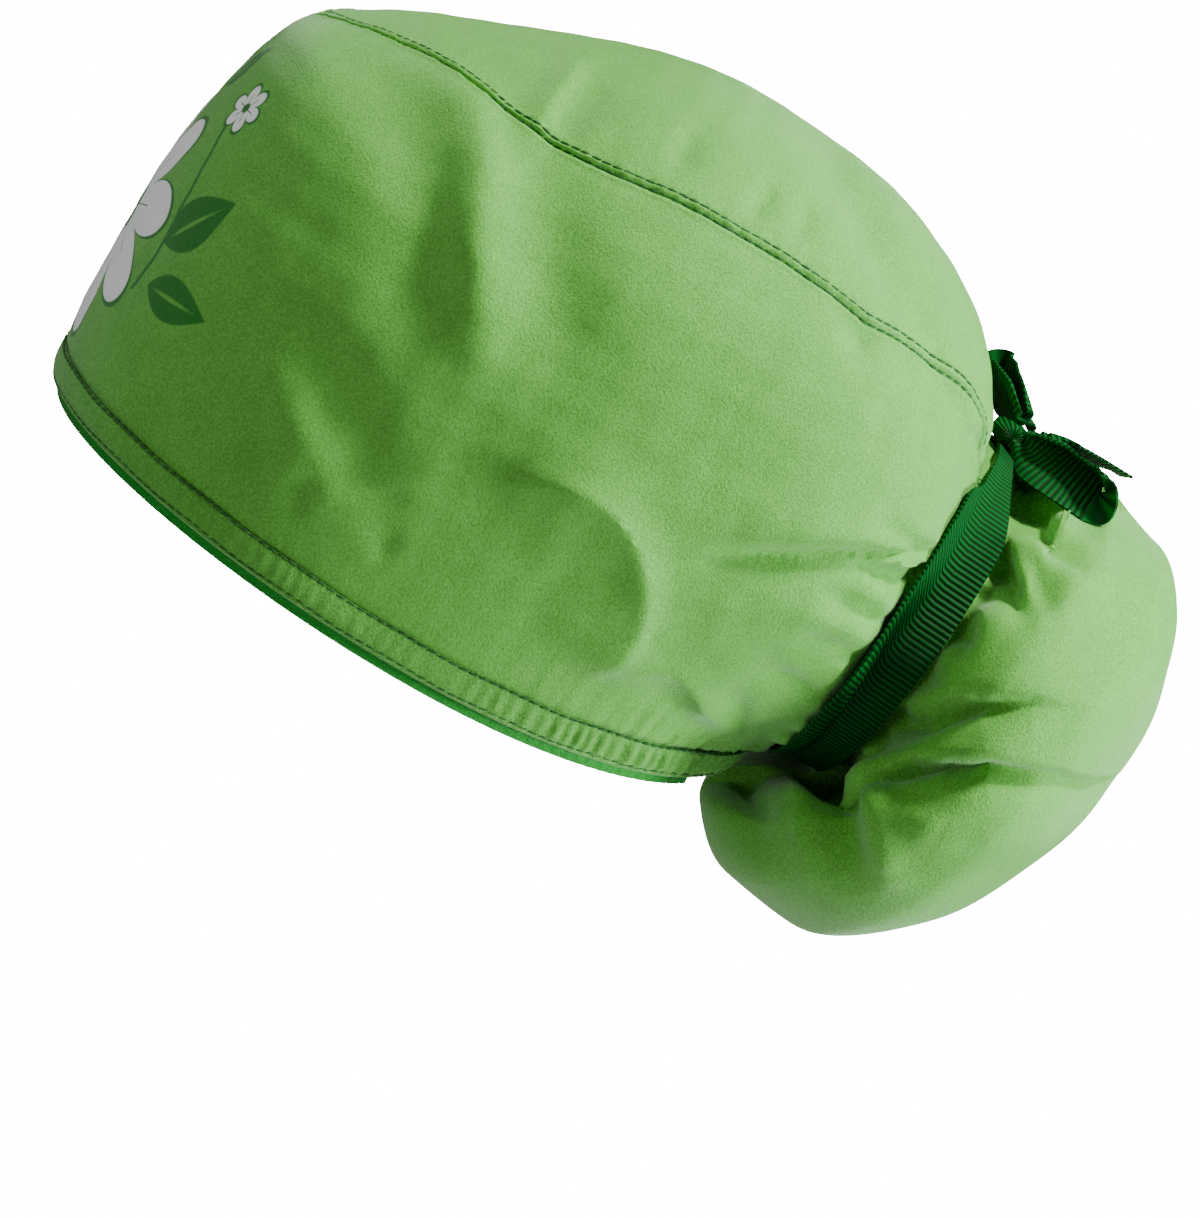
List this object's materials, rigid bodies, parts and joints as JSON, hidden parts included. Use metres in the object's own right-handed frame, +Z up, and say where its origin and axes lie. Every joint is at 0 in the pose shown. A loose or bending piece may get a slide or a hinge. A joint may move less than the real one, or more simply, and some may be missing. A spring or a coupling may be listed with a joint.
{
  "type": "scrub cap",
  "caption": "Fitted surgical cap of light green cloth with a gathered pouch at the back for long hair, a ribbon bow and an elastic hem.",
  "frame": {"origin": "the point inside the crown where the top of the wearer's head bears on the cloth, on the centre plane", "axes": "+X towards the wearer's left, +Y towards the back of the head, +Z up"},
  "size_m": [0.1621, 0.2714, 0.2235],
  "materials": {
    "cap_cloth": "soft brushed cloth with a satin sheen",
    "hem_cloth": "folded cloth over elastic, stitched",
    "sweatband_tape": "knitted tape",
    "ribbon": "ribbed grosgrain ribbon"
  },
  "bodies": {
    "root": {"side_panel_left": "cap_cloth", "side_panel_right": "cap_cloth", "crown_panel": "cap_cloth", "pony_pouch": "cap_cloth", "hem_band": "hem_cloth", "sweatband": "sweatband_tape", "tie_ribbon": "ribbon", "bow_knot": "ribbon", "bow_loop_near": "ribbon", "bow_loop_far": "ribbon", "bow_tail_near": "ribbon", "bow_tail_far": "ribbon"}
  },
  "joints": []
}
